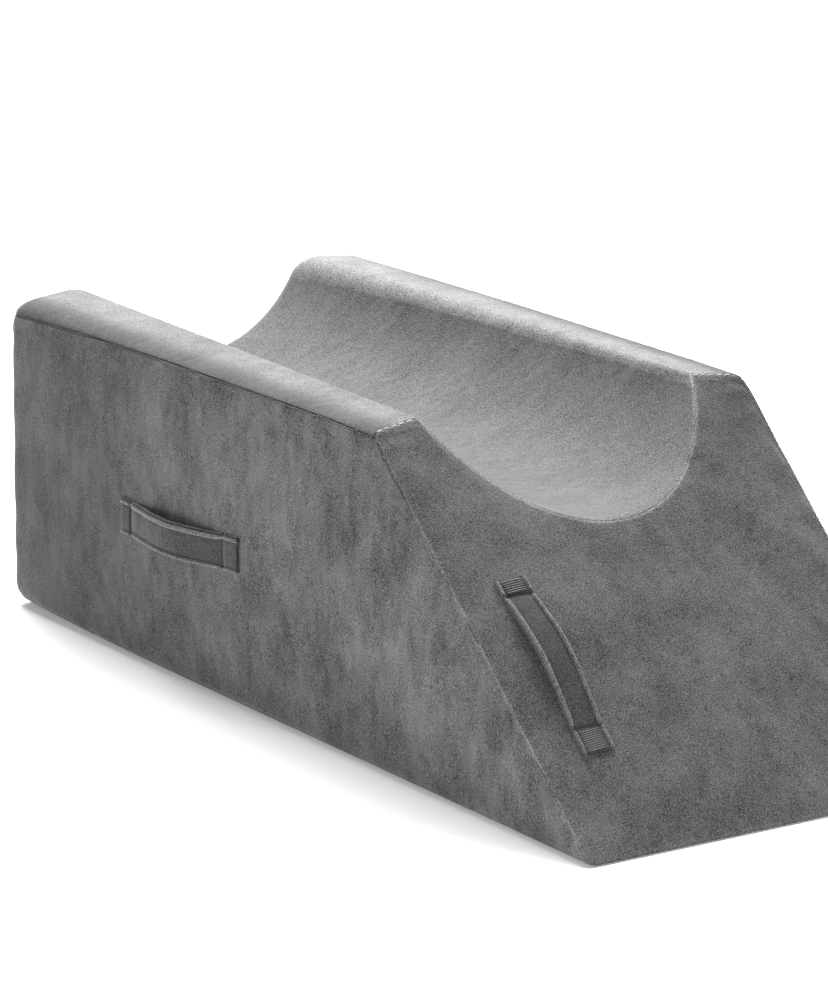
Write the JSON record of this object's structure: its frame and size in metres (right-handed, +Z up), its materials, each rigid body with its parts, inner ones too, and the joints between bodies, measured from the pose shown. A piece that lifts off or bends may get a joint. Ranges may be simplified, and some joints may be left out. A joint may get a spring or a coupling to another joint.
{
  "type": "leg elevation pillow",
  "caption": "Plush-covered foam wedge with level walls, a slanted knee end and a round trough that holds a raised leg; a cloth carrying handle on one side and on the slant.",
  "frame": {"origin": "middle of the flat base", "axes": "+Z up from the base; +Y along the leg, towards the foot end; -Y towards the slanted knee end; X across, with the side handle at -X"},
  "size_m": [0.2733, 0.6116, 0.1956],
  "materials": {
    "cover_plush": "short grey velvet pile with a soft sheen and brushed patches",
    "side_handle_plush": "folded grey velvet strap, raised stitched edges",
    "front_handle_plush": "folded warm grey velvet strap, raised stitched edges"
  },
  "bodies": {
    "root": {"pillow": "cover_plush", "side_handle": "side_handle_plush", "front_handle": "front_handle_plush"}
  },
  "joints": []
}
